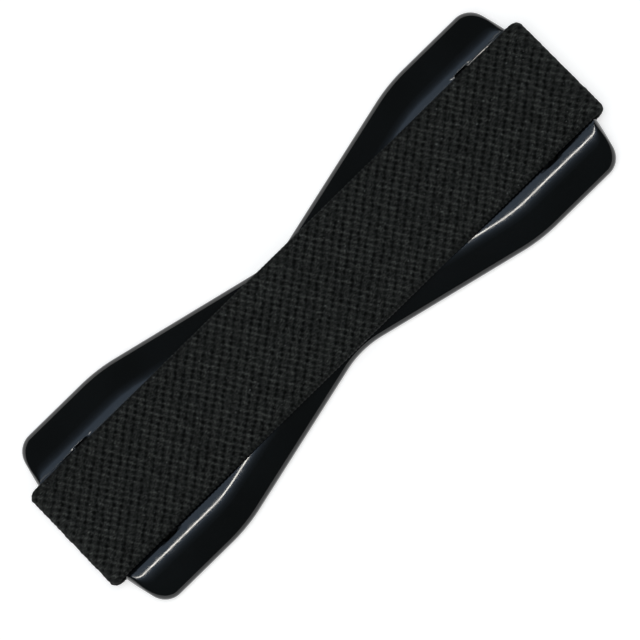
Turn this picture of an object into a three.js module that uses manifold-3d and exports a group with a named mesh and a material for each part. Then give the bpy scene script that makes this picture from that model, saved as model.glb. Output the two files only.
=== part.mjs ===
// Elastic finger strap for the back of a phone. A bow-tie shaped moulded base is stuck to the phone
// by a foam pad, and a woven elastic strap lies along it, folds round a bar at each end and is wedged
// in a slot behind that bar. Fingers go under the middle of the strap and lift it like a tent.
// Millimetres, +X along the strap, +Z away from the phone, origin on the pad's sticky face.

import * as THREE from "three";
import { mergeVertices } from "three/addons/utils/BufferGeometryUtils.js";
import Module from "manifold-3d";

const wasm = await Module();
wasm.setup();

// Base outline, as seen from above
const endRadius = 50.2; // the two ends are arcs about the centre
const halfWidth = 16.65;
const waistHalfWidth = 9.75;
const taperAngle = THREE.MathUtils.degToRad(13.4);
const waistRadius = 15.4;
const shoulderRadius = 28;
const cornerRadius = 3.3;

// Foam pad
const padThickness = 0.8;
const padSideInset = 1.2;
const padEndInset = 3.4;
const padCornerRadius = 2.2;

// Base section
const crestRise = 0.2; // the plateau's rim stands this far above it
const crestWidth = 3; // and falls to it over this width, most of it under the strap
const rimHeight = 0.8; // upright edge below the dome
const footChamfer = 0.3;
const domeInset = 6.15; // crest behind the side edge
const domeWaistInset = 5.8; // and behind the waist and the tapers
const endInset = 0.9; // crest behind the end edge
const crestCornerRadius = 1.3;
const plateauCornerRadius = 0.9;

// Strap
const strapWidth = 19.05;
const strapThickness = 1.5;
const strapFloat = 0.3; // strap over the plateau
const foldOverhang = 1.2; // outside of the fold past the base's end
const strapTailBend = 1.1;
const gripHalfLength = 13; // the stretch that a finger lifts
const foldLength = 5.375; // still top stretch, with the fold
const seam = 0.1; // between the lengths of strap

// End bar and slot
const barThickness = 1.4;
const barUnderGap = 0.15; // between the bar and the strap's lower run, and its tail
const padUnderGap = 0.05; // strap's lower run over the pad
const barFoldGap = 0.275; // bar's nose to the inside of the fold
const slotSetback = 10.375; // middle of the slot behind the base's end
const slotSideGap = 0.525; // beside the strap, in the slot
const slotCorner = 0.6;
const recessSideGap = 0.375; // beside the strap, in the end recess
const fuse = 0.05; // how far fused solids run into each other

// Anchor key, the wedge that pins the strap's tail in the slot
const keyThickness = 1.0;
const keySideGap = 0.1; // on both faces of the blade
const keyTopDrop = 0.3; // tip below the plateau
const keyFootWidth = 0.8;
const keyFootHeight = 0.6;
const keyTip = 0.35;
const footFit = 0.1;

// Bottom cover and the hollow that it closes
const coverThickness = 1.0;
const coverFit = 0.1;
const seatInset = 1.5;
const ledgeWidth = 0.8;
const hollowDepth = 0.9; // above the cover
const slotWall = 2.2; // between the slot and the cover's seat
const seatCornerRadius = 1.2;
const ribWidth = 0.8;
const ribPlaces = [-18, 0, 18];
const bossRadius = 2;
const bossPlaces = [
  [-27, 6.5],
  [-27, -6.5],
  [-9, 0],
  [9, 0],
  [27, 6.5],
  [27, -6.5],
];
const postRadius = 1.0;
const postFit = 0.15;
const postTipGap = 0.2;

// Facets
const arcSteps = { end: 6, corner: 7, shoulder: 4, waist: 5 };
const domeSteps = 8;
const roundSteps = 20;
const foldSteps = 20;

// Heights and places that follow from the sizes above
const baseBottom = padThickness;
const underBottom = baseBottom + padUnderGap;
const underTop = underBottom + strapThickness;
const barBottom = underTop + barUnderGap;
const deck = barBottom + barThickness; // the plateau under the strap
const crest = deck + crestRise;
const rim = baseBottom + rimHeight;
const strapBottom = deck + strapFloat;
const strapTop = strapBottom + strapThickness;
const foldInner = (strapBottom - underTop) / 2;
const foldOuter = foldInner + strapThickness;
const foldZ = (strapBottom + underTop) / 2;
const foldX = endRadius + foldOverhang - foldOuter;
const hingeX = foldX - foldLength + foldOuter;
const barEnd = foldX + foldInner - barFoldGap;
const slotWidth = keySideGap + keyThickness + keySideGap + strapThickness + barUnderGap;
const slotHalfLength = strapWidth / 2 + slotSideGap;
const slotInner = endRadius - slotSetback - slotWidth / 2;
const slotOuter = slotInner + slotWidth;
const recessHalfWidth = strapWidth / 2 + recessSideGap;
const seatEnd = slotInner - slotWall;
const coverTop = baseBottom + coverThickness;
const hollowTop = coverTop + hollowDepth;
const tall = 4 * (strapTop - baseBottom); // longer than anything it has to cut through

const colours = {
  gloss: { color: 0x0b0d10, roughness: 0.12, metalness: 0 },
  matte: { color: 0x15171a, roughness: 0.55, metalness: 0 },
  weave: { color: 0x1d1f1e, roughness: 0.95, metalness: 0 },
  foam: { color: 0x222427, roughness: 0.85, metalness: 0 },
};

function solidOf(geometry) {
  const bare = geometry.clone();
  bare.deleteAttribute("normal");
  bare.deleteAttribute("uv");
  const merged = mergeVertices(bare, 1e-4);
  return new wasm.Manifold(
    new wasm.Mesh({
      numProp: 3,
      vertProperties: new Float32Array(merged.attributes.position.array),
      triVerts: new Uint32Array(merged.index.array),
    }),
  );
}

function geometryOf(solid) {
  const mesh = solid.getMesh();
  const geometry = new THREE.BufferGeometry();
  geometry.setAttribute("position", new THREE.BufferAttribute(mesh.vertProperties, 3));
  geometry.setIndex(new THREE.BufferAttribute(mesh.triVerts, 1));
  const flat = geometry.toNonIndexed();
  flat.computeVertexNormals();
  return flat;
}

// Points of an arc, its first point left out so that stretches can be joined.
function arc(x, y, radius, from, to, steps) {
  return new THREE.ArcCurve(x, y, radius, from, to, to < from)
    .getPoints(steps)
    .slice(1);
}

// The bow-tie outline, drawn in by one distance at the sides, another at the ends and, if given, a third
// at the waist and tapers.
function outline(sideInset, endInsetHere, corner, waistInset = sideInset) {
  const end = endRadius - endInsetHere;
  const side = halfWidth - sideInset;
  const waist = waistHalfWidth - waistInset;
  const waistArc = waistRadius + waistInset;
  const shoulderArc = shoulderRadius - sideInset;
  const drop = waistArc * (1 - Math.cos(taperAngle));
  const kneeX = waistArc * Math.sin(taperAngle) + (side - waist - drop) / Math.tan(taperAngle);
  const shoulderX = kneeX + shoulderArc * Math.tan(taperAngle / 2);
  const cornerX = Math.sqrt((end - corner) ** 2 - (side - corner) ** 2);
  const cornerStart = Math.atan2(side - corner, cornerX);
  const up = Math.PI / 2;
  const quarter = [
    new THREE.Vector2(end, 0),
    ...arc(0, 0, end, 0, cornerStart, arcSteps.end),
    ...arc(cornerX, side - corner, corner, cornerStart, up, arcSteps.corner),
    new THREE.Vector2(shoulderX, side),
    ...arc(shoulderX, side - shoulderArc, shoulderArc, up, up + taperAngle, arcSteps.shoulder),
    new THREE.Vector2(waistArc * Math.sin(taperAngle), waist + drop),
    ...arc(0, waist + waistArc, waistArc, taperAngle - up, -up, arcSteps.waist),
  ];
  const mirrored = (points, sx, sy) => points.map((p) => new THREE.Vector2(sx * p.x, sy * p.y));
  return [
    ...quarter,
    ...mirrored(quarter, -1, 1).reverse().slice(1),
    ...mirrored(quarter, -1, -1).slice(1),
    ...mirrored(quarter, 1, -1).reverse().slice(1, -1),
  ];
}

// A closed solid through a stack of outlines with the same number of points.
function loft(layers) {
  const count = layers[0].points.length;
  const positions = layers.flatMap(({ points, z }) => points.flatMap((p) => [p.x, p.y, z]));
  const index = [];
  for (let layer = 0; layer + 1 < layers.length; layer++) {
    for (let i = 0; i < count; i++) {
      const a = layer * count + i;
      const b = layer * count + ((i + 1) % count);
      index.push(a, b, b + count, a, b + count, a + count);
    }
  }
  const last = (layers.length - 1) * count;
  for (const [a, b, c] of THREE.ShapeUtils.triangulateShape(layers[0].points, [])) {
    index.push(a, c, b);
  }
  for (const [a, b, c] of THREE.ShapeUtils.triangulateShape(layers.at(-1).points, [])) {
    index.push(last + a, last + b, last + c);
  }
  const geometry = new THREE.BufferGeometry();
  geometry.setAttribute("position", new THREE.Float32BufferAttribute(positions, 3));
  geometry.setIndex(index);
  return solidOf(geometry);
}

function prism(points, bottom, top) {
  return loft([
    { points, z: bottom },
    { points, z: top },
  ]);
}

function block(x0, x1, halfY, z0, z1) {
  const box = new THREE.BoxGeometry(x1 - x0, 2 * halfY, z1 - z0);
  return solidOf(box.translate((x0 + x1) / 2, 0, (z0 + z1) / 2));
}

function post(x, y, radius, z0, z1) {
  const cylinder = new THREE.CylinderGeometry(radius, radius, z1 - z0, roundSteps);
  return solidOf(cylinder.rotateX(Math.PI / 2).translate(x, y, (z0 + z1) / 2));
}

// A shape drawn in X and Z, made as wide as given along Y and centred on it.
function across(shape, width) {
  const geometry = new THREE.ExtrudeGeometry(shape, {
    depth: width,
    bevelEnabled: false,
    curveSegments: foldSteps,
  });
  return geometry.rotateX(Math.PI / 2).translate(0, width / 2, 0);
}

function roundedRectangle(x0, x1, y0, y1, radius) {
  const shape = new THREE.Shape();
  shape.moveTo(x0 + radius, y0);
  shape.lineTo(x1 - radius, y0);
  shape.absarc(x1 - radius, y0 + radius, radius, -Math.PI / 2, 0);
  shape.lineTo(x1, y1 - radius);
  shape.absarc(x1 - radius, y1 - radius, radius, 0, Math.PI / 2);
  shape.lineTo(x0 + radius, y1);
  shape.absarc(x0 + radius, y1 - radius, radius, Math.PI / 2, Math.PI);
  shape.lineTo(x0, y0 + radius);
  shape.absarc(x0 + radius, y0 + radius, radius, Math.PI, 1.5 * Math.PI);
  return shape;
}

// Domed bow tie: chamfered foot, upright rim, elliptical flank, then a crest round the plateau.
function domedBlank() {
  const layers = [
    { points: outline(footChamfer, footChamfer, cornerRadius - footChamfer), z: baseBottom },
    { points: outline(0, 0, cornerRadius), z: baseBottom + footChamfer },
  ];
  for (let step = 0; step <= domeSteps; step++) {
    const angle = (step / domeSteps) * (Math.PI / 2);
    const inward = 1 - Math.cos(angle);
    const corner = THREE.MathUtils.lerp(cornerRadius, crestCornerRadius, inward);
    layers.push({
      points: outline(inward * domeInset, inward * endInset, corner, inward * domeWaistInset),
      z: rim + (crest - rim) * Math.sin(angle),
    });
  }
  layers.push({
    points: outline(
      domeInset + crestWidth,
      endInset + crestWidth,
      plateauCornerRadius,
      domeWaistInset + crestWidth,
    ),
    z: deck,
  });
  return loft(layers);
}

// A bow-tie prism that stops short of the slots.
function betweenSlots(inset, endX, bottom, top) {
  const bowTie = prism(outline(inset, endInset + inset, seatCornerRadius), bottom, top);
  return bowTie.intersect(block(-endX, endX, halfWidth, bottom - 1, top + 1));
}

// The hollow above the cover, with its ribs and the bosses that take the cover's posts.
function hollow() {
  const inset = seatInset + ledgeWidth;
  let space = betweenSlots(inset, seatEnd - ledgeWidth, coverTop - fuse, hollowTop);
  for (const x of ribPlaces) {
    space = space.subtract(block(x - ribWidth / 2, x + ribWidth / 2, halfWidth, coverTop, tall));
  }
  for (const [x, y] of bossPlaces) {
    space = space
      .subtract(post(x, y, bossRadius, coverTop, tall))
      .add(post(x, y, postRadius + postFit, coverTop - fuse, hollowTop));
  }
  return space;
}

// The bar that the strap folds round, nosed at its outer end and inside the base's outline.
function endBar() {
  const nose = barThickness / 2;
  const profile = new THREE.Shape();
  profile.moveTo(slotOuter, barBottom);
  profile.lineTo(barEnd - nose, barBottom);
  profile.absarc(barEnd - nose, deck - nose, nose, -Math.PI / 2, Math.PI / 2);
  profile.lineTo(slotOuter, deck);
  const bar = solidOf(across(profile, 2 * (recessHalfWidth + fuse)));
  return bar.intersect(prism(outline(0, 0, cornerRadius), baseBottom, crest));
}

// What is taken out at one end: the slot, the recess round the bar and the seat of the key's foot.
function endCut() {
  const slot = solidOf(
    new THREE.ExtrudeGeometry(
      roundedRectangle(slotInner, slotOuter, -slotHalfLength, slotHalfLength, slotCorner),
      { depth: tall, bevelEnabled: false, curveSegments: arcSteps.corner },
    ),
  );
  const footSeat = block(
    slotInner - keyFootWidth - footFit,
    slotOuter,
    recessHalfWidth,
    0,
    baseBottom + keyFootHeight + footFit,
  );
  return slot.add(block(slotOuter - fuse, tall + endRadius, recessHalfWidth, 0, tall)).add(footSeat);
}

function baseShell() {
  const seat = betweenSlots(seatInset, seatEnd, 0, coverTop);
  const other = (solid) => solid.rotate([0, 0, 180]);
  const cut = endCut();
  const bar = endBar();
  return domedBlank()
    .subtract(seat)
    .subtract(hollow())
    .subtract(cut)
    .subtract(other(cut))
    .add(bar)
    .add(other(bar));
}

function bottomCover() {
  const inset = seatInset + coverFit;
  let cover = betweenSlots(inset, seatEnd - coverFit, baseBottom, coverTop);
  for (const [x, y] of bossPlaces) {
    cover = cover.add(post(x, y, postRadius, coverTop - fuse, hollowTop - postTipGap));
  }
  return cover;
}

function adhesivePad() {
  return prism(outline(padSideInset, padEndInset, padCornerRadius), 0, padThickness);
}

// L-shaped wedge: a blade up the slot's inner wall and a foot that stops it rising.
function anchorKey() {
  const bladeInner = slotInner + keySideGap;
  const bladeOuter = bladeInner + keyThickness;
  const tip = deck - keyTopDrop;
  const footEnd = slotInner - keyFootWidth;
  const footTop = baseBottom + keyFootHeight;
  const profile = new THREE.Shape();
  profile.moveTo(footEnd, baseBottom);
  profile.lineTo(bladeOuter, baseBottom);
  profile.lineTo(bladeOuter, tip - keyTip);
  profile.lineTo(bladeOuter - keyTip, tip);
  profile.lineTo(bladeInner, tip);
  profile.lineTo(bladeInner, footTop);
  profile.lineTo(footEnd, footTop);
  return across(profile, strapWidth);
}

// Top stretch, fold, lower run and the tail that stands in the slot behind the bar.
function strapEnd() {
  const tailOuter = slotOuter - barUnderGap;
  const tailInner = tailOuter - strapThickness;
  const tailTop = deck - keyTopDrop;
  const profile = new THREE.Shape();
  profile.moveTo(hingeX, strapTop);
  profile.lineTo(hingeX, strapBottom);
  profile.lineTo(foldX, strapBottom);
  profile.absarc(foldX, foldZ, foldInner, Math.PI / 2, -Math.PI / 2, true);
  profile.lineTo(tailOuter, underTop);
  profile.lineTo(tailOuter, tailTop);
  profile.lineTo(tailInner, tailTop);
  profile.lineTo(tailInner, underBottom + strapTailBend);
  profile.absarc(
    tailInner + strapTailBend,
    underBottom + strapTailBend,
    strapTailBend,
    Math.PI,
    1.5 * Math.PI,
  );
  profile.lineTo(foldX, underBottom);
  profile.absarc(foldX, foldZ, foldOuter, -Math.PI / 2, Math.PI / 2);
  return across(profile, strapWidth);
}

function strapLength(x0, x1) {
  const box = new THREE.BoxGeometry(x1 - x0, strapWidth, strapThickness);
  return box.translate((x0 + x1) / 2, 0, (strapTop + strapBottom) / 2);
}

function place(parent, name, geometry, finish) {
  const mesh = new THREE.Mesh(geometry, new THREE.MeshStandardMaterial(colours[finish]));
  mesh.name = name;
  parent.add(mesh);
}

const grip = new THREE.Group();
place(grip, "base_shell", geometryOf(baseShell()), "gloss");
place(grip, "bottom_cover", geometryOf(bottomCover()), "matte");
place(grip, "adhesive_pad", geometryOf(adhesivePad()), "foam");
place(grip, "strap_grip", strapLength(-gripHalfLength, gripHalfLength), "weave");
for (const [side, turn] of [
  ["right", 0],
  ["left", Math.PI],
]) {
  const end = new THREE.Group();
  end.rotation.z = turn;
  place(end, `anchor_key_${side}`, anchorKey(), "matte");
  place(end, `strap_end_${side}`, strapEnd(), "weave");
  place(end, `strap_run_${side}`, strapLength(gripHalfLength + seam, hingeX - seam), "weave");
  grip.add(end);
}

export default grip;
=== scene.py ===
import math

import bmesh
import bpy
import numpy as np
from mathutils import Matrix, Vector


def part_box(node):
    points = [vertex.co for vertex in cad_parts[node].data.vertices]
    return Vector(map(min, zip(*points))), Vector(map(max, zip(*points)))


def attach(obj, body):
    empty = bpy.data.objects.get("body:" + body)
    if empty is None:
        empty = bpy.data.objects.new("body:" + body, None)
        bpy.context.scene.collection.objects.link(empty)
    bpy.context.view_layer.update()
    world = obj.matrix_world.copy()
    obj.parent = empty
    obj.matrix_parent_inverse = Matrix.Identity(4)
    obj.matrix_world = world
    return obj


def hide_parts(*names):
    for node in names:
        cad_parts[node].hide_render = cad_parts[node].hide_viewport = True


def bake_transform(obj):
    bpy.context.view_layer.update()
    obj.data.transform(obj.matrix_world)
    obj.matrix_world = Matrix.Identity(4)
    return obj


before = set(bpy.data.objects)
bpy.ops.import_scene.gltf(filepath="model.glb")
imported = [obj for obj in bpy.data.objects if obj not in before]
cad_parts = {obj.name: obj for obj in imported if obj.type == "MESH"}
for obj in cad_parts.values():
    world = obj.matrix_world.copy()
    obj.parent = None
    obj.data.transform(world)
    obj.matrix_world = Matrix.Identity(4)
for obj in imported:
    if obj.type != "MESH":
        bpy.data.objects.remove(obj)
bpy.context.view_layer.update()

# Finger strap for a phone's back: a bow-tie base moulded in gloss black ABS, an elastic strap along it,
# and a foam tape pad below. Lengths in the dictionaries are millimetres, the scene is in metres.

mm = 0.001

shell = {
    "endRadius": 50.2,
    "halfWidth": 16.65,
    "waistHalfWidth": 9.75,
    "taperAngle": 13.4,
    "waistRadius": 15.4,
    "shoulderRadius": 28,
    "cornerRadius": 3.3,
    "footChamfer": 0.3,
    "rimHeight": 0.8,
    "domeInset": 6.15,     # crest behind the side edge
    "domeWaistInset": 5.8, # and behind the waist and the tapers
    "endInset": 0.9,       # crest behind the end edge
    "crestCornerRadius": 1.3,
    "crestRise": 0.2,
    "crestWidth": 3.0,     # from the crest down to the plateau, most of it under the strap
    "domeRings": 30,
    "crestRings": 16,
}

slots = {
    "setback": 10.375,     # middle of the slot behind the end of the base
    "width": 2.85,
    "sideGap": 0.525,      # beside the strap
    "cornerRadius": 0.6,
    "recessGap": 0.375,    # beside the strap, in the end recess
    "barThickness": 1.4,
    "edgeRound": 0.14,
}

seat = {
    "inset": 1.5,          # cover's pocket behind the outline
    "slotWall": 2.2,
    "ledge": 0.8,
    "coverThickness": 1.0,
    "hollowDepth": 0.9,
    "cornerRadius": 1.2,
}

weave = {
    "columns": 35,          # warp yarns across the face
    "period": 2.1,          # one float and one dive of a warp yarn
    "stepsPerColumn": 5,
    "stepsPerColumnBack": 3,
    "stepsPerPeriod": 14,
    "pitDepth": 0.22,       # pits and crowns are ellipses, turned from the strap's length
    "pitLong": 0.30,
    "pitShort": 0.22,
    "pitSlant": 45,
    "crownRise": 0.12,      # each yarn's float between the pits
    "crownSlant": -60,
    "crownLong": 0.58,
    "crownShort": 0.20,
    "crownPlace": (0.75, -0.285),
    "grooveDepth": 0.03,    # between neighbouring yarns
    "twillDepth": 0.02,     # diagonal ridges
    "unevenness": 0.45,
    "edgeRadius": 0.68,
    "selvedgeDepth": 0.10,
    "cornerTuck": 0.38,     # fold's corners lie back by this
    "cornerWidth": 1.0,
    "tailBend": 0.8,
    "seed": 11,
}

# The softbox over the strap: a bright tube, and a glow that falls off on both sides of it.
lamp = {
    "halos": [
        (-0.010, 0.165, 0.42),
        (-0.030, 0.180, 0.24),
        (-0.060, 0.210, 0.15),
        (-0.100, 0.250, 0.10),
        (-0.160, 0.310, 0.07),
    ],
}

stage = {"radius": 3.2, "wall": 0.3}   # metres

cameraSet = {"tilt": 9.0, "roll": 44.38, "distance": 600, "frameWidth": 96.0, "aim": (0.44, 2.41)}


def box(node):
    low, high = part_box(node)
    return Vector(low) / mm, Vector(high) / mm


shellLow, shellHigh = box("base_shell")
endLow, endHigh = box("strap_end_right")
gripLow, gripHigh = box("strap_grip")
runHigh = box("strap_run_right")[1]

baseBottom = shellLow.z
crestHeight = shellHigh.z
deckHeight = crestHeight - shell["crestRise"]
strapTop = gripHigh.z
strapThickness = gripHigh.z - gripLow.z
strapHalfWidth = gripHigh.y

# Strap's middle line round the end bar, from the CAD's own fold
foldTurn = (endHigh.z - endLow.z - strapThickness) / 2
foldX = endHigh.x - (endHigh.z - endLow.z) / 2
foldZ = (endHigh.z + endLow.z) / 2
tailX = endLow.x + strapThickness / 2
underRun = foldX - tailX - weave["tailBend"]


def deselectAll():
    if bpy.context.object and bpy.context.object.mode != "OBJECT":
        bpy.ops.object.mode_set(mode="OBJECT")
    bpy.ops.object.select_all(action="DESELECT")


def activate(piece):
    deselectAll()
    piece.select_set(True)
    bpy.context.view_layer.objects.active = piece


def arcPoints(x, y, radius, start, end, steps):
    angles = np.linspace(start, end, steps + 1)[1:]
    return [(x + radius * math.cos(a), y + radius * math.sin(a)) for a in angles]


def straight(start, end, steps):
    shares = np.linspace(0, 1, steps + 1)[1:]
    return [(start[0] + (end[0] - start[0]) * i, start[1] + (end[1] - start[1]) * i) for i in shares]


# Bow-tie outline drawn in by one distance at the sides, another at the ends, a third at waist and tapers.
def outline(sideInset, endInset, corner, waistInset=None):
    if waistInset is None:
        waistInset = sideInset
    end = shell["endRadius"] - endInset
    side = shell["halfWidth"] - sideInset
    waist = shell["waistHalfWidth"] - waistInset
    waistArc = shell["waistRadius"] + waistInset
    shoulderArc = shell["shoulderRadius"] - sideInset
    taper = math.radians(shell["taperAngle"])
    drop = waistArc * (1 - math.cos(taper))
    kneeX = waistArc * math.sin(taper) + (side - waist - drop) / math.tan(taper)
    shoulderX = kneeX + shoulderArc * math.tan(taper / 2)
    cornerX = math.sqrt((end - corner) ** 2 - (side - corner) ** 2)
    cornerStart = math.atan2(side - corner, cornerX)
    up = math.pi / 2
    quarter = [(end, 0.0)]
    quarter += arcPoints(0, 0, end, 0, cornerStart, 14)
    quarter += arcPoints(cornerX, side - corner, corner, cornerStart, up, 20)
    quarter += straight(quarter[-1], (shoulderX, side), 6)
    quarter += arcPoints(shoulderX, side - shoulderArc, shoulderArc, up, up + taper, 12)
    quarter += straight(quarter[-1], (waistArc * math.sin(taper), waist + drop), 8)
    quarter += arcPoints(0, waist + waistArc, waistArc, taper - up, -up, 14)
    quarter = np.array(quarter)
    return np.vstack([
        quarter,
        (quarter * (-1, 1))[::-1][1:],
        (quarter * (-1, -1))[1:],
        (quarter * (1, -1))[::-1][1:-1],
    ])


# A grid primitive rolled up: rows of points, each row a closed ring, both open ends filled.
def rolledGrid(name, rows, uvMap=None, crown=None):
    count, around = rows.shape[:2]
    rows = np.concatenate([rows, rows[:, :1]], axis=1)
    deselectAll()
    bpy.ops.mesh.primitive_grid_add(x_subdivisions=around, y_subdivisions=count - 1, calc_uvs=True)
    piece = bpy.context.object
    piece.name = name
    piece.data.name = name
    mesh = piece.data
    mesh.vertices.foreach_set("co", (rows * mm).ravel())
    if uvMap is not None:
        corner = np.empty(len(mesh.loops), int)
        mesh.loops.foreach_get("vertex_index", corner)
        mesh.uv_layers[0].data.foreach_set("uv", uvMap.reshape(-1, 2)[corner].ravel())
    if crown is not None:
        crown = np.concatenate([crown, crown[:, :1]], axis=1)
        layer = mesh.attributes.new("crown", "FLOAT", "POINT")
        layer.data.foreach_set("value", crown.ravel())
    bpy.ops.object.mode_set(mode="EDIT")
    bpy.ops.mesh.select_all(action="SELECT")
    bpy.ops.mesh.remove_doubles(threshold=1e-6)
    bpy.ops.mesh.select_all(action="SELECT")
    bpy.ops.mesh.fill_holes(sides=0)
    bpy.ops.mesh.select_all(action="SELECT")
    bpy.ops.mesh.normals_make_consistent(inside=False)
    bpy.ops.object.mode_set(mode="OBJECT")
    return piece


def prism(name, points, bottom, top):
    rings = [np.column_stack([points, np.full(len(points), z)]) for z in (bottom, top)]
    return rolledGrid(name, np.array(rings))


def block(name, low, high):
    deselectAll()
    middle = (Vector(low) + Vector(high)) / 2 * mm
    size = (Vector(high) - Vector(low)) * mm
    bpy.ops.mesh.primitive_cube_add(size=1, location=middle, scale=size)
    piece = bpy.context.object
    piece.name = name
    bpy.ops.object.transform_apply(location=True, rotation=True, scale=True)
    return piece


# Rounds the edges of a block that run along one axis, and of those only the ones past a place if given.
def roundEdges(piece, along, radius, steps, beyond=None):
    activate(piece)
    bpy.ops.object.mode_set(mode="EDIT")
    bpy.ops.mesh.select_mode(type="EDGE")
    bpy.ops.mesh.select_all(action="DESELECT")
    cage = bmesh.from_edit_mesh(piece.data)
    for edge in cage.edges:
        a, b = (v.co for v in edge.verts)
        chosen = abs((b - a).normalized()[along]) > 0.99
        if beyond is not None:
            chosen = chosen and min(a.x, b.x) > beyond * mm
        edge.select_set(chosen)
    bmesh.update_edit_mesh(piece.data)
    bpy.ops.mesh.bevel(offset=radius * mm, segments=steps, affect="EDGES")
    bpy.ops.object.mode_set(mode="OBJECT")


def combine(piece, tool, operation):
    activate(piece)
    change = piece.modifiers.new("cut", "BOOLEAN")
    change.operation = operation
    change.solver = "EXACT"
    change.object = tool
    bpy.ops.object.modifier_apply(modifier=change.name)
    bpy.data.objects.remove(tool, do_unlink=True)


# Copy turned half a turn about the upright axis, for the other end.
def turned(piece, name):
    copy = piece.copy()
    copy.data = piece.data.copy()
    copy.name = name
    bpy.context.collection.objects.link(copy)
    copy.data.transform(Matrix.Rotation(math.pi, 4, "Z"))
    return copy


def domedBlank():
    def ring(sideInset, endInset, corner, z, waistInset=None):
        points = outline(sideInset, endInset, corner, waistInset)
        return np.column_stack([points, np.full(len(points), z)])

    chamfer = shell["footChamfer"]
    radius = shell["cornerRadius"]
    rim = baseBottom + shell["rimHeight"]
    rows = [ring(chamfer, chamfer, radius - chamfer, baseBottom)]
    rows += [ring(0, 0, radius, baseBottom + chamfer)]
    for step in range(shell["domeRings"] + 1):
        angle = step / shell["domeRings"] * math.pi / 2
        inward = 1 - math.cos(angle)
        corner = radius + (shell["crestCornerRadius"] - radius) * inward
        z = rim + (crestHeight - rim) * math.sin(angle)
        waist = inward * shell["domeWaistInset"]
        rows += [ring(inward * shell["domeInset"], inward * shell["endInset"], corner, z, waist)]
    for step in range(1, shell["crestRings"] + 1):
        share = step / shell["crestRings"]
        inset = share * shell["crestWidth"]
        z = deckHeight + shell["crestRise"] * (1 - share ** 2)
        corner = shell["crestCornerRadius"] - 0.5 * share
        waist = shell["domeWaistInset"] + inset
        rows += [ring(shell["domeInset"] + inset, shell["endInset"] + inset, corner, z, waist)]
    return rolledGrid("base_blank", np.array(rows))


def slotCutter():
    middle = shell["endRadius"] - slots["setback"]
    halfLength = strapHalfWidth + slots["sideGap"]
    low = (middle - slots["width"] / 2, -halfLength, baseBottom - 1)
    high = (middle + slots["width"] / 2, halfLength, strapTop)
    cutter = block("slot_cutter", low, high)
    roundEdges(cutter, 2, slots["cornerRadius"], 6)
    return cutter


# Room for the strap at the end, with the bar that it folds round left standing.
def recessCutter():
    slotOuter = shell["endRadius"] - slots["setback"] + slots["width"] / 2
    halfWidth = strapHalfWidth + slots["recessGap"]
    low = (slotOuter - 0.05, -halfWidth, baseBottom - 1)
    high = (shell["endRadius"] + 5, halfWidth, strapTop)
    cutter = block("recess_cutter", low, high)
    barLow = (slotOuter - 1, -halfWidth - 1, deckHeight - slots["barThickness"])
    barHigh = (shellHigh.x, halfWidth + 1, deckHeight)
    bar = block("end_bar", barLow, barHigh)
    roundEdges(bar, 1, slots["barThickness"] / 2 - 0.01, 10, beyond=slotOuter + 2)
    combine(cutter, bar, "DIFFERENCE")
    return cutter


# The cover's pocket and the hollow above it.
def pocketCutter(name, inset, stop, bottom, top):
    points = outline(inset, shell["endInset"] + inset, seat["cornerRadius"])
    cutter = prism(name, points, bottom, top)
    keep = block("keep", (-stop, -20, bottom - 1), (stop, 20, top + 1))
    combine(cutter, keep, "INTERSECT")
    return cutter


def makeShell():
    piece = domedBlank()
    piece.name = "base_gloss_shell"
    seatEnd = shell["endRadius"] - slots["setback"] - slots["width"] / 2 - seat["slotWall"]
    coverTop = baseBottom + seat["coverThickness"]
    ledge = seat["ledge"]
    pocket = pocketCutter("pocket", seat["inset"], seatEnd, baseBottom - 1, coverTop)
    hollow = pocketCutter(
        "hollow", seat["inset"] + ledge, seatEnd - ledge, coverTop - 0.1, coverTop + seat["hollowDepth"]
    )
    combine(piece, pocket, "DIFFERENCE")
    combine(piece, hollow, "DIFFERENCE")
    for makeCutter in (slotCutter, recessCutter):
        cutter = makeCutter()
        opposite = turned(cutter, "opposite_cutter")
        combine(piece, cutter, "DIFFERENCE")
        combine(piece, opposite, "DIFFERENCE")
    activate(piece)
    soften = piece.modifiers.new("edges", "BEVEL")
    soften.width = slots["edgeRound"] * mm
    soften.segments = 3
    soften.limit_method = "ANGLE"
    soften.angle_limit = math.radians(50)
    bpy.ops.object.modifier_apply(modifier=soften.name)
    bpy.ops.object.shade_smooth_by_angle(angle=math.radians(32))
    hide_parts("base_shell")
    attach(piece, "base")
    return piece


def strapSection():
    pitch = 2 * strapHalfWidth / weave["columns"]
    fine = pitch / weave["stepsPerColumn"]
    r = weave["edgeRadius"]
    flat = strapHalfWidth - r
    half = strapThickness / 2
    # each point: y, z, its normal's y and z, distance across from the face's middle, and which face
    points = []
    steps = int(round(2 * flat / fine))
    for i in range(steps + 1):
        y = flat - 2 * flat * i / steps
        points.append((y, half, 0, 1, y, 1))
    for i in range(1, 6):
        a = i / 6 * math.pi / 2
        ny, nz = -math.sin(a), math.cos(a)
        points.append((-flat + r * ny, half - r + r * nz, ny, nz, -flat - r * a, 1))
    for i in range(4):
        z = (half - r) * (1 - 2 * i / 3)
        across = -flat - r * math.pi / 2 - (half - r) + abs(z)
        points.append((-flat - r, z, -1, 0, across, 1 if z > 0 else -1))
    for i in range(1, 6):
        a = i / 6 * math.pi / 2
        ny, nz = -math.cos(a), -math.sin(a)
        points.append((-flat + r * ny, -half + r + r * nz, ny, nz, -flat - r * (math.pi / 2 - a), -1))
    steps = int(round(2 * flat / pitch * weave["stepsPerColumnBack"]))
    for i in range(steps + 1):
        y = -flat + 2 * flat * i / steps
        points.append((y, -half, 0, -1, y, -1))
    mirrored = [(-y, z, -ny, nz, -q, face) for y, z, ny, nz, q, face in points]
    topSide = [p for p in mirrored if p[0] > flat + 1e-6]
    topSide.reverse()
    return np.array(points + topSide)


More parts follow.
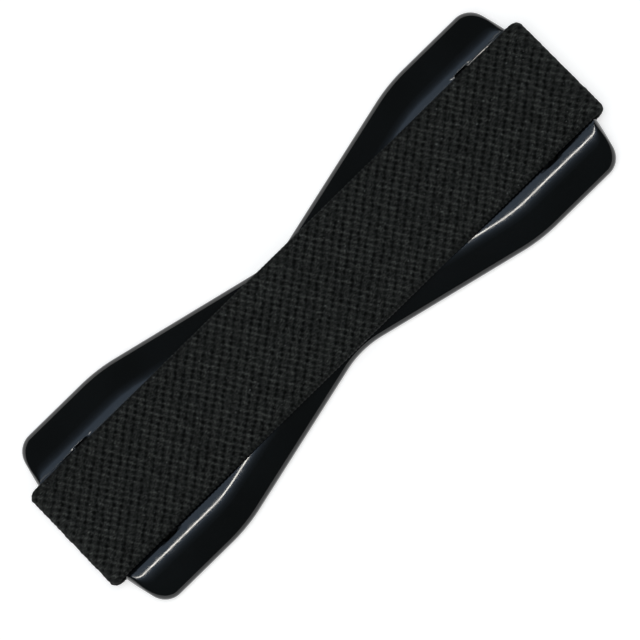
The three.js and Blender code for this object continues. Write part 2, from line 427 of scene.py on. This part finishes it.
# How deep the woven face lies at each place, and its crown: 0 at the bottom of a pit, 1 on a yarn's top; the
# woven material paints shade and light into its colour from the crown.
# Pits repeat along a yarn, each yarn a third of a period on from its neighbour, which makes the twill.
def weaveRelief(along, across, face):
    pitch = 2 * strapHalfWidth / weave["columns"]
    period = weave["period"]
    uneven = weave["unevenness"]
    wobble = np.random.RandomState(weave["seed"]).uniform(-1, 1, (5, 64, 256))
    pitSlant = math.radians(weave["pitSlant"])
    crownSlant = math.radians(weave["crownSlant"])
    crownAlong, crownAcross = weave["crownPlace"]
    column = across / pitch
    pits = np.zeros(np.broadcast(along, across).shape)
    crowns = np.zeros(pits.shape)
    shade = np.zeros(pits.shape)
    for shift in (-2, -1, 0, 1, 2):
        k = np.round(column) + shift
        turn = along / period - k / 3 * face
        for step in (-1, 0, 1):
            n = np.round(turn) + step
            cell = (k.astype(int) + 30) % 64 + np.zeros(n.shape, int), n.astype(int) % 256
            da = (turn - n) * period + 0.28 * uneven * wobble[1][cell]
            dq = (column - k) * pitch * face + 0.28 * uneven * wobble[2][cell]
            long = (da * math.cos(pitSlant) + dq * math.sin(pitSlant)) / weave["pitLong"]
            short = (dq * math.cos(pitSlant) - da * math.sin(pitSlant)) / weave["pitShort"]
            pit = (1 + uneven * wobble[0][cell]) * np.exp(-(long ** 2 + short ** 2) ** 1.4)
            pits = np.maximum(pits, pit)
            da, dq = da - crownAlong, dq - crownAcross
            long = (da * math.cos(crownSlant) + dq * math.sin(crownSlant)) / weave["crownLong"]
            short = (dq * math.cos(crownSlant) - da * math.sin(crownSlant)) / weave["crownShort"]
            crowns += (1 + uneven * wobble[3][cell]) * np.exp(-long ** 2 - short ** 2)
            shade += wobble[4][cell] * np.exp(-long ** 2 - short ** 2)
    beside = column - np.round(column)
    groove = 1 - np.sqrt(np.clip(1 - (beside / 0.54) ** 2, 0, 1))
    twill = 0.5 + 0.5 * np.cos(2 * np.pi * (along / period - column / 3 * face))
    depth = weave["pitDepth"] * pits + weave["grooveDepth"] * groove + weave["twillDepth"] * twill
    depth += weave["crownRise"] * (1 - np.clip(crowns, 0, 1.3))
    deepest = weave["pitDepth"] + weave["grooveDepth"] + weave["twillDepth"] + weave["crownRise"]
    crown = 1 - depth / deepest + 0.5 * uneven * shade
    return np.clip(depth, 0, deepest), np.clip(crown, 0, 1)


# Middle line of the strap from its centre out, round the end bar and up into the slot.
def strapPath(distance):
    turn = foldTurn
    bend = weave["tailBend"]
    s = abs(distance)
    stages = [foldX, math.pi * turn, underRun, bend * math.pi / 2]
    if s <= stages[0]:
        return s, foldZ + turn, 0, 1
    s -= stages[0]
    if s <= stages[1]:
        a = math.pi / 2 - s / turn
        return foldX + turn * math.cos(a), foldZ + turn * math.sin(a), math.cos(a), math.sin(a)
    s -= stages[1]
    if s <= stages[2]:
        return foldX - s, foldZ - turn, 0, -1
    s -= stages[2]
    if s <= stages[3]:
        a = -math.pi / 2 - s / bend
        nx, nz = math.cos(a), math.sin(a)
        return tailX + bend + bend * nx, foldZ - turn + bend + bend * nz, nx, nz
    s -= stages[3]
    return tailX, foldZ - turn + bend + s, -1, 0


def strapLength():
    bend = weave["tailBend"]
    tail = box("anchor_key_right")[1].z - (foldZ - foldTurn + bend)
    return foldX + math.pi * foldTurn + underRun + bend * math.pi / 2 + tail


def strapPiece(name, start, end):
    section = strapSection()
    steps = int(round(abs(end - start) / weave["period"] * weave["stepsPerPeriod"]))
    along = np.linspace(start, end, steps + 1)
    y, z, ny, nz, across, face = section.T
    depth, crown = weaveRelief(along[:, None], across[None, :], face[None, :])
    side = np.clip((np.abs(across) - strapHalfWidth + weave["edgeRadius"]) / 0.6, 0, 1)[None, :]
    pick = 0.5 - 0.5 * np.cos(2 * np.pi * along[:, None] / (weave["period"] / 3))
    depth = depth * (1 - side) + weave["selvedgeDepth"] * pick * side
    # The selvedge's crown rises and falls with the picks; the woven material turns it into painted shade
    # between the picks.
    crown = crown * (1 - side) + (1 - pick) * 0.8 * side
    path = np.array([strapPath(a) for a in along])
    sign = np.sign((start + end) / 2)
    px, pz, nx, nzPath = path.T
    lift = z[None, :] - depth * nz[None, :]
    spread = y[None, :] - depth * ny[None, :]
    outward = np.clip(nx, 0, 1)[:, None]
    toCorner = np.clip((np.abs(y) - strapHalfWidth) / weave["cornerWidth"] + 1, 0, 1)[None, :]
    rows = np.empty((len(along), len(section), 3))
    tuck = weave["cornerTuck"] * outward * toCorner ** 2
    rows[..., 0] = sign * (px[:, None] + nx[:, None] * lift - tuck)
    rows[..., 1] = spread
    rows[..., 2] = pz[:, None] + nzPath[:, None] * lift
    around = np.concatenate([[0], np.cumsum(np.hypot(np.diff(y), np.diff(z)))])
    around = np.append(around, around[-1] + weave["edgeRadius"] * 0.26)
    uv = np.empty((len(along), len(around), 2))
    uv[..., 0] = around[None, :] / 100
    uv[..., 1] = along[:, None] / 100
    piece = rolledGrid(name, rows, uv, crown)
    activate(piece)
    bpy.ops.object.shade_smooth_by_angle(angle=math.radians(70))
    return piece


def makeStrap():
    hinge = runHigh.x + 0.1
    full = strapLength()
    pieces = {
        "strap_half_right": strapPiece("strap_half_right", 0, hinge),
        "strap_half_left": strapPiece("strap_half_left", -hinge, 0),
        "strap_fold_right": strapPiece("strap_fold_right", hinge, full),
        "strap_fold_left": strapPiece("strap_fold_left", -full, -hinge),
    }
    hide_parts("strap_run_right", "strap_grip")
    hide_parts("strap_run_left")
    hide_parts("strap_end_right")
    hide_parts("strap_end_left")
    for side, sign in (("right", 1), ("left", -1)):
        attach(pieces[f"strap_fold_{side}"], "base")
        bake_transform(pieces[f"strap_half_{side}"])
    return pieces


def linear(colour):
    channels = [int(colour[i:i + 2], 16) / 255 for i in (1, 3, 5)]
    return [c / 12.92 if c <= 0.04045 else ((c + 0.055) / 1.055) ** 2.4 for c in channels] + [1]


def addNode(tree, kind, settings=None, inputs=None):
    node = tree.nodes.new(kind)
    for key, value in (settings or {}).items():
        setattr(node, key, value)
    for key, value in (inputs or {}).items():
        socket = node.inputs[key]
        if isinstance(value, bpy.types.NodeSocket):
            tree.links.new(value, socket)
        else:
            socket.default_value = value
    return node


def newMaterial(name):
    material = bpy.data.materials.new(name)
    material.use_nodes = True
    material.node_tree.nodes.clear()
    tree = material.node_tree
    shader = addNode(tree, "ShaderNodeBsdfPrincipled")
    output = addNode(tree, "ShaderNodeOutputMaterial")
    tree.links.new(shader.outputs["BSDF"], output.inputs["Surface"])
    return material, tree, shader


def ramp(tree, source, stops):
    node = addNode(tree, "ShaderNodeValToRGB", inputs={"Fac": source})
    while len(node.color_ramp.elements) < len(stops):
        node.color_ramp.elements.new(0.5)
    for element, (place, colour) in zip(node.color_ramp.elements, stops):
        element.position = place
        element.color = colour if len(colour) == 4 else (*colour, 1)
    return node.outputs["Color"]


def put(piece, material):
    piece.data.materials.clear()
    piece.data.materials.append(material)


# Gloss ABS from a polished mould: near black, mirror-like, with a faint wave and hairline wear.
def glossMouldedAbs():
    material, tree, shader = newMaterial("gloss_moulded_abs")
    place = addNode(tree, "ShaderNodeTexCoord").outputs["Object"]
    wave = addNode(tree, "ShaderNodeTexNoise", inputs={"Vector": place, "Scale": 90, "Detail": 2})
    haze = addNode(tree, "ShaderNodeTexNoise", inputs={"Vector": place, "Scale": 700, "Detail": 5})
    rough = addNode(tree, "ShaderNodeMapRange", inputs={
        "Value": haze.outputs["Fac"], "From Min": 0.3, "From Max": 0.75, "To Min": 0.05, "To Max": 0.11})
    tone = ramp(tree, wave.outputs["Fac"], [(0.3, linear("#080a0b")), (0.75, linear("#0d1012"))])
    swell = addNode(tree, "ShaderNodeBump", inputs={
        "Height": wave.outputs["Fac"], "Strength": 0.05, "Distance": 0.0008})
    dust = addNode(tree, "ShaderNodeBump", inputs={
        "Height": haze.outputs["Fac"], "Strength": 0.03, "Distance": 0.0001,
        "Normal": swell.outputs["Normal"]})
    tree.links.new(tone, shader.inputs["Base Color"])
    tree.links.new(rough.outputs["Result"], shader.inputs["Roughness"])
    tree.links.new(dust.outputs["Normal"], shader.inputs["Normal"])
    shader.inputs["IOR"].default_value = 1.54
    return material


# Plain moulded ABS with a spark-eroded grain, for what the shell hides.
def grainedMouldedAbs():
    material, tree, shader = newMaterial("grained_moulded_abs")
    place = addNode(tree, "ShaderNodeTexCoord").outputs["Object"]
    grain = addNode(tree, "ShaderNodeTexNoise", inputs={"Vector": place, "Scale": 2600, "Detail": 4})
    tone = ramp(tree, grain.outputs["Fac"], [(0.3, linear("#121416")), (0.7, linear("#1b1d20"))])
    bump = addNode(tree, "ShaderNodeBump", inputs={
        "Height": grain.outputs["Fac"], "Strength": 0.35, "Distance": 0.0001})
    tree.links.new(tone, shader.inputs["Base Color"])
    tree.links.new(bump.outputs["Normal"], shader.inputs["Normal"])
    shader.inputs["Roughness"].default_value = 0.5
    shader.inputs["IOR"].default_value = 1.54
    return material


# Acrylic foam tape: soft dark grey, small cut cells, a little tacky sheen.
def acrylicFoam():
    material, tree, shader = newMaterial("acrylic_foam")
    place = addNode(tree, "ShaderNodeTexCoord").outputs["Object"]
    cells = addNode(
        tree, "ShaderNodeTexVoronoi", {"feature": "DISTANCE_TO_EDGE"}, {"Vector": place, "Scale": 3200})
    cloud = addNode(tree, "ShaderNodeTexNoise", inputs={"Vector": place, "Scale": 160, "Detail": 4})
    tone = ramp(tree, cloud.outputs["Fac"], [(0.3, linear("#1e2023")), (0.7, linear("#2a2c30"))])
    bump = addNode(tree, "ShaderNodeBump", inputs={
        "Height": cells.outputs["Distance"], "Strength": 0.5, "Distance": 0.0001})
    tree.links.new(tone, shader.inputs["Base Color"])
    tree.links.new(bump.outputs["Normal"], shader.inputs["Normal"])
    shader.inputs["Roughness"].default_value = 0.62
    return material


def multiplied(tree, colour, value):
    mix = {"data_type": "RGBA", "blend_type": "MULTIPLY"}
    return addNode(tree, "ShaderNodeMix", mix, {"Factor": 1.0, 6: colour, 7: value}).outputs[2]


# Woven polyester over rubber: dull yarns, with painted shade in the pits and painted light on the yarns'
# tops, and a few pale specks painted as glints of filaments that catch light.
# Fibres are drawn about 0.2 mm wide, coarser than real filaments, so that they show.
def wovenElastic():
    material, tree, shader = newMaterial("woven_elastic")
    uv = addNode(tree, "ShaderNodeUVMap").outputs["UV"]
    crown = addNode(tree, "ShaderNodeAttribute", {"attribute_name": "crown"}).outputs["Fac"]
    stretch = addNode(tree, "ShaderNodeMapping", inputs={
        "Vector": uv, "Rotation": (0, 0, 1.05), "Scale": (1, 0.45, 1)}).outputs["Vector"]
    fibre = addNode(tree, "ShaderNodeTexNoise", inputs={"Vector": stretch, "Scale": 560, "Detail": 3})
    patch = addNode(tree, "ShaderNodeTexNoise", inputs={"Vector": uv, "Scale": 60, "Detail": 4})
    glintNoise = addNode(tree, "ShaderNodeTexNoise", inputs={"Vector": stretch, "Scale": 420, "Detail": 1})
    # Painted shade and light: near black at the bottom of the pits, lighter toward each yarn's top.
    tone = ramp(tree, crown, [(0.2, linear("#060707")), (0.62, linear("#1e201f")), (1.0, linear("#373937"))])
    fibreTone = addNode(tree, "ShaderNodeMapRange", inputs={
        "Value": fibre.outputs["Fac"], "From Min": 0.36, "From Max": 0.66, "To Min": 0.3, "To Max": 2.0})
    patchTone = addNode(tree, "ShaderNodeMapRange", inputs={
        "Value": patch.outputs["Fac"], "From Min": 0.3, "From Max": 0.7, "To Min": 0.8, "To Max": 1.2})
    # Painted glints: pale specks where the stretched noise peaks, mixed into the colour.
    paintedGlintMask = addNode(tree, "ShaderNodeMapRange", inputs={
        "Value": glintNoise.outputs["Fac"], "From Min": 0.73, "From Max": 0.80})
    mottled = multiplied(tree, tone, patchTone.outputs["Result"])
    spun = multiplied(tree, mottled, fibreTone.outputs["Result"])
    glinted = addNode(tree, "ShaderNodeMix", {"data_type": "RGBA"}, {
        "Factor": paintedGlintMask.outputs["Result"], 6: spun, 7: linear("#7a7e7c")})
    bump = addNode(tree, "ShaderNodeBump", inputs={
        "Height": fibre.outputs["Fac"], "Strength": 0.8, "Distance": 0.0002})
    tree.links.new(glinted.outputs[2], shader.inputs["Base Color"])
    tree.links.new(bump.outputs["Normal"], shader.inputs["Normal"])
    shader.inputs["Roughness"].default_value = 0.86
    shader.inputs["Specular IOR Level"].default_value = 0.3
    return material


def makeStage():
    deselectAll()
    bpy.ops.mesh.primitive_plane_add(size=2 * stage["radius"], location=(0, 0, -0.00002))
    floor = bpy.context.object
    floor.name = "floor"
    bpy.ops.mesh.primitive_cylinder_add(
        vertices=96, radius=stage["radius"], depth=stage["wall"], end_fill_type="NOTHING",
        location=(0, 0, stage["wall"] / 2)
    )
    wall = bpy.context.object
    wall.name = "backdrop"
    material = bpy.data.materials.new("pale_paper")
    material.use_nodes = True
    tree = material.node_tree
    tree.nodes.clear()
    rays = addNode(tree, "ShaderNodeLightPath")
    seen = addNode(tree, "ShaderNodeMath", {"operation": "MAXIMUM"}, {
        0: rays.outputs["Is Camera Ray"], 1: rays.outputs["Is Glossy Ray"]})
    seenToo = addNode(tree, "ShaderNodeMath", {"operation": "MAXIMUM"}, {
        0: seen.outputs[0], 1: rays.outputs["Is Transmission Ray"]})
    paper = addNode(tree, "ShaderNodeBsdfDiffuse", inputs={"Color": (0.8, 0.8, 0.8, 1)})
    place = addNode(tree, "ShaderNodeNewGeometry").outputs["Position"]
    away = addNode(tree, "ShaderNodeVectorMath", {"operation": "LENGTH"}, {0: place})
    # lamps light the middle, so the paper glows more the farther out it is
    strength = addNode(tree, "ShaderNodeMapRange", inputs={
        "Value": away.outputs["Value"], "From Min": 0.15, "From Max": 0.9, "To Min": 0.6, "To Max": 1.0})
    glow = addNode(tree, "ShaderNodeEmission", inputs={
        "Color": (1, 1, 1, 1), "Strength": strength.outputs["Result"]})
    dark = addNode(tree, "ShaderNodeEmission", inputs={"Color": (0, 0, 0, 1), "Strength": 0})
    picked = addNode(tree, "ShaderNodeMixShader", inputs={
        0: seenToo.outputs[0], 1: dark.outputs[0], 2: glow.outputs[0]})
    total = addNode(tree, "ShaderNodeAddShader", inputs={0: paper.outputs[0], 1: picked.outputs[0]})
    output = addNode(tree, "ShaderNodeOutputMaterial")
    tree.links.new(total.outputs[0], output.inputs["Surface"])
    for piece in (floor, wall):
        put(piece, material)


def areaLight(name, place, width, depth, brightness, colour, glossy=True):
    light = bpy.data.lights.new(name, "AREA")
    light.shape = "RECTANGLE"
    light.size = width
    light.size_y = depth
    light.energy = brightness * math.pi * width * depth
    light.color = linear(colour)[:3]
    lamp = bpy.data.objects.new(name, light)
    bpy.context.collection.objects.link(lamp)
    lamp.location = place
    lamp.rotation_euler = (-Vector(place)).to_track_quat("-Z", "Y").to_euler()
    lamp.visible_glossy = glossy
    return lamp


def makeLights():
    world = bpy.data.worlds.new("studio")
    bpy.context.scene.world = world
    world.use_nodes = True
    world.node_tree.nodes["Background"].inputs["Color"].default_value = linear("#454a4b")
    world.node_tree.nodes["Background"].inputs["Strength"].default_value = 1.0
    areaLight("strip", (0.0, 0.038, 0.75), 0.36, 0.018, 24, "#fffaf0")
    for number, (start, end, brightness) in enumerate(lamp["halos"]):
        place = (0.0, (start + end) / 2, 0.76 + number * 0.01)
        areaLight(f"halo{number}", place, 0.45 + number * 0.05, end - start, brightness, "#c6e0ff")
    areaLight("fill", (-0.1, -0.1, 0.9), 0.9, 0.9, 1.6, "#ffffff", glossy=False)


def makeCamera():
    tilt = math.radians(cameraSet["tilt"])
    roll = math.radians(cameraSet["roll"])
    away = Vector((0, -math.sin(tilt), math.cos(tilt)))
    across = Vector((1, 0, 0))
    upward = away.cross(across)
    right = math.cos(roll) * across - math.sin(roll) * upward
    up = math.sin(roll) * across + math.cos(roll) * upward
    middle = Vector((0, 0, strapTop / 2)) * mm
    aim = middle + (right * cameraSet["aim"][0] - up * cameraSet["aim"][1]) * mm
    camera = bpy.data.cameras.new("camera")
    camera.sensor_width = 36
    camera.lens = 36 * cameraSet["distance"] / cameraSet["frameWidth"]
    camera.clip_start = 0.01
    holder = bpy.data.objects.new("camera", camera)
    bpy.context.collection.objects.link(holder)
    holder.matrix_world = Matrix.Translation(aim + away * cameraSet["distance"] * mm) @ Matrix(
        (right, up, away)
    ).transposed().to_4x4()
    bpy.context.scene.camera = holder


makeCamera()
makeStage()
makeLights()
bpy.context.scene.view_settings.view_transform = "Standard"
print("stage and camera ready")

glossAbs = glossMouldedAbs()
grainedAbs = grainedMouldedAbs()
foam = acrylicFoam()
elastic = wovenElastic()

base = makeShell()
put(base, glossAbs)
print("base shell:", len(base.data.polygons), "faces")

for piece in makeStrap().values():
    put(piece, elastic)
    print(piece.name, len(piece.data.polygons), "faces")

for node, material in (
    ("bottom_cover", grainedAbs),
    ("anchor_key_left", grainedAbs),
    ("anchor_key_right", grainedAbs),
    ("adhesive_pad", foam),
):
    put(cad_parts[node], material)
